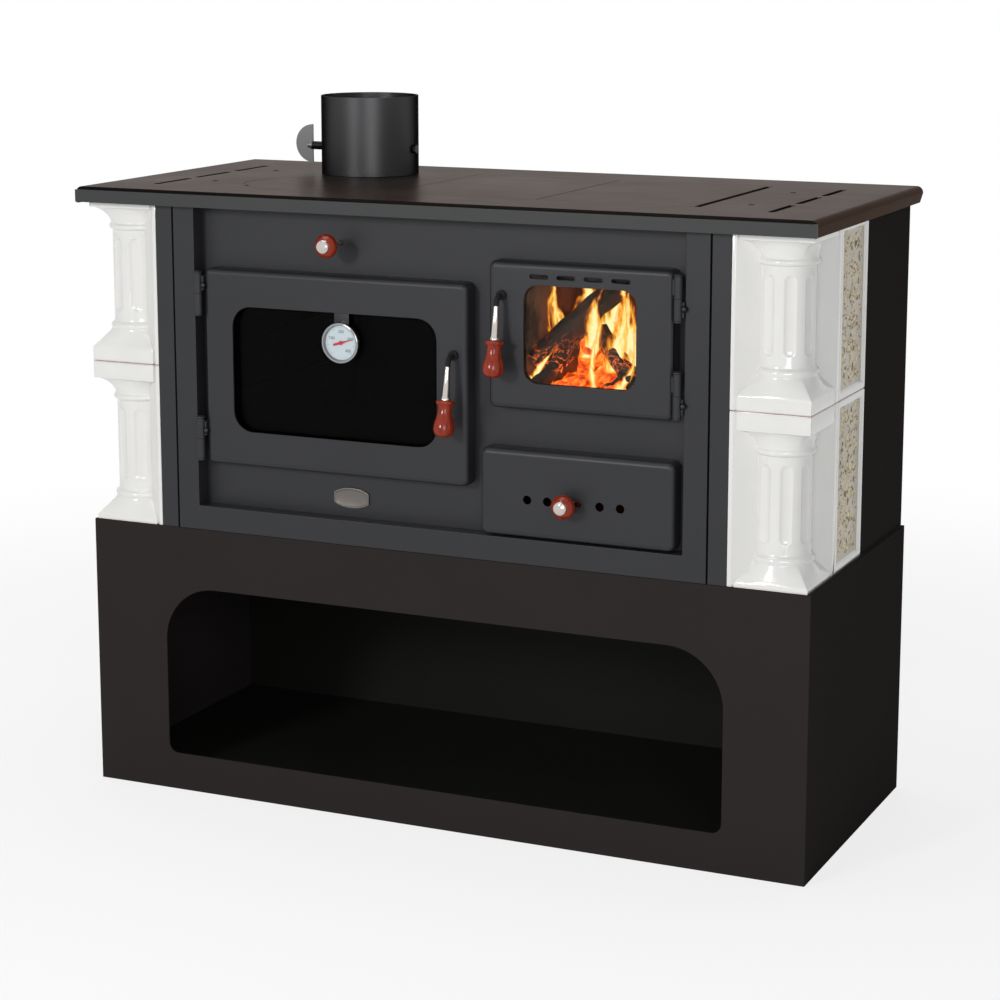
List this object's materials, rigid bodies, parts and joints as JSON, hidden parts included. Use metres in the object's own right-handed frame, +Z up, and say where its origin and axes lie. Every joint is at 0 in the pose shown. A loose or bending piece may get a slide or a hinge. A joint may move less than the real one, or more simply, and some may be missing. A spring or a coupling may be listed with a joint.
{
  "type": "wood cookstove",
  "caption": "Wood-burning kitchen stove with an oven, a glazed fire door, an ash drawer, a hob with lift-off plates, ceramic corner columns and an open log store below.",
  "frame": {"origin": "middle of the bounding box, on the floor", "axes": "+Z up, +X to the right as seen from the front, -Y out of the front"},
  "size_m": [1.057, 0.5056, 0.962],
  "materials": {
    "casing_paint": "matt black heat-resistant paint",
    "front_paint": "satin anthracite heat-resistant paint",
    "hob_paint": "satin brown-grey heat-resistant paint",
    "flue_paint": "satin grey heat-resistant paint",
    "cast_iron": "raw dark casting",
    "white_glaze": "glossy off-white glaze",
    "decor_glaze": "glossy glaze, off-white frame and beige field",
    "red_wood": "glossy red-brown lacquer",
    "chrome": "polished",
    "fire_brick": "matt fired clay",
    "glass": "dark heat-resistant glass",
    "dial": "white dial in a bright rim",
    "needle_red": "gloss red"
  },
  "bodies": {
    "stove": {"base_shell": "casing_paint", "base_back_panel": "casing_paint", "base_floor": "casing_paint", "base_deck": "casing_paint", "side_panel_left": "casing_paint", "side_panel_right": "casing_paint", "back_panel": "casing_paint", "front_frame": "front_paint", "front_panel": "front_paint", "tile_trim_left": "front_paint", "tile_trim_right": "front_paint", "hob_apron": "front_paint", "oven_hinge_lower": "front_paint", "oven_hinge_upper": "front_paint", "fire_hinge_lower": "front_paint", "fire_hinge_upper": "front_paint", "hob_plate": "hob_paint", "flue_collar": "flue_paint", "oven_box": "cast_iron", "smoke_partition": "cast_iron", "firebox_shell": "cast_iron", "fire_grate": "cast_iron", "column_tile_left_lower": "white_glaze", "column_tile_left_upper": "white_glaze", "column_tile_right_lower": "white_glaze", "column_tile_right_upper": "white_glaze", "side_tile_left_lower": "decor_glaze", "side_tile_left_upper": "decor_glaze", "side_tile_right_lower": "decor_glaze", "side_tile_right_upper": "decor_glaze", "firebrick_left": "fire_brick", "firebrick_right": "fire_brick", "firebrick_back": "fire_brick"},
    "oven_door": {"oven_door_panel": "front_paint", "oven_door_glass": "glass", "oven_glass_retainer": "casing_paint", "thermometer_case": "dial"},
    "needle": {"thermometer_needle": "needle_red"},
    "oven_handle": {"oven_handle_arm": "cast_iron", "oven_handle_ferrule": "chrome", "oven_handle_grip": "red_wood", "oven_latch": "cast_iron"},
    "fire_door": {"fire_door_panel": "front_paint", "fire_door_glass": "glass", "fire_glass_retainer": "casing_paint"},
    "fire_handle": {"fire_handle_arm": "cast_iron", "fire_handle_ferrule": "chrome", "fire_handle_grip": "red_wood", "fire_latch": "cast_iron"},
    "ash_drawer": {"ash_drawer_front": "front_paint", "ash_pan": "casing_paint"},
    "air_control": {"air_slide": "chrome", "air_knob": "red_wood"},
    "bypass": {"bypass_rod": "chrome", "bypass_knob": "red_wood"},
    "damper": {"damper_disc": "cast_iron", "damper_handle": "flue_paint"},
    "plate_left": {"hob_insert_left": "hob_paint"},
    "plate_right": {"hob_insert_right": "hob_paint"},
    "round_lid": {"hob_round_lid": "hob_paint"}
  },
  "joints": [
    {"name": "oven_door_hinge", "type": "hinge", "parent": "stove", "child": "oven_door", "pos_m": [-0.346, -0.21023, 0.611], "axis": [0, 0, -1], "range_deg": [0, 110]},
    {"name": "oven_handle_turn", "type": "hinge", "parent": "oven_door", "child": "oven_handle", "pos_m": [0.0358, -0.20623, 0.651], "axis": [0, 1, 0], "range_deg": [0, 90]},
    {"name": "thermometer_needle_turn", "type": "hinge", "parent": "oven_door", "child": "needle", "pos_m": [-0.131, -0.20823, 0.656], "axis": [0, 1, 0], "range_deg": [-208, 61]},
    {"name": "fire_door_hinge", "type": "hinge", "parent": "stove", "child": "fire_door", "pos_m": [0.346, -0.21023, 0.682], "axis": [0, 0, 1], "range_deg": [0, 110]},
    {"name": "fire_handle_turn", "type": "hinge", "parent": "fire_door", "child": "fire_handle", "pos_m": [0.1042, -0.20623, 0.734], "axis": [0, -1, 0], "range_deg": [0, 90]},
    {"name": "ash_drawer_slide", "type": "slide", "parent": "stove", "child": "ash_drawer", "axis": [0, -1, 0], "range_m": [0, 0.25]},
    {"name": "air_control_slide", "type": "slide", "parent": "ash_drawer", "child": "air_control", "axis": [1, 0, 0], "range_m": [0, 0.013]},
    {"name": "bypass_slide", "type": "slide", "parent": "stove", "child": "bypass", "axis": [0, -1, 0], "range_m": [0, 0.06]},
    {"name": "damper_turn", "type": "hinge", "parent": "stove", "child": "damper", "pos_m": [-0.251, 0.11677, 0.887], "axis": [1, 0, 0], "range_deg": [0, 90]},
    {"name": "plate_left_lift", "type": "slide", "parent": "stove", "child": "plate_left", "axis": [0, 0, 1], "range_m": [0, 0.12]},
    {"name": "plate_right_lift", "type": "slide", "parent": "stove", "child": "plate_right", "axis": [0, 0, 1], "range_m": [0, 0.12]},
    {"name": "round_lid_lift", "type": "slide", "parent": "stove", "child": "round_lid", "axis": [0, 0, 1], "range_m": [0, 0.12]}
  ]
}
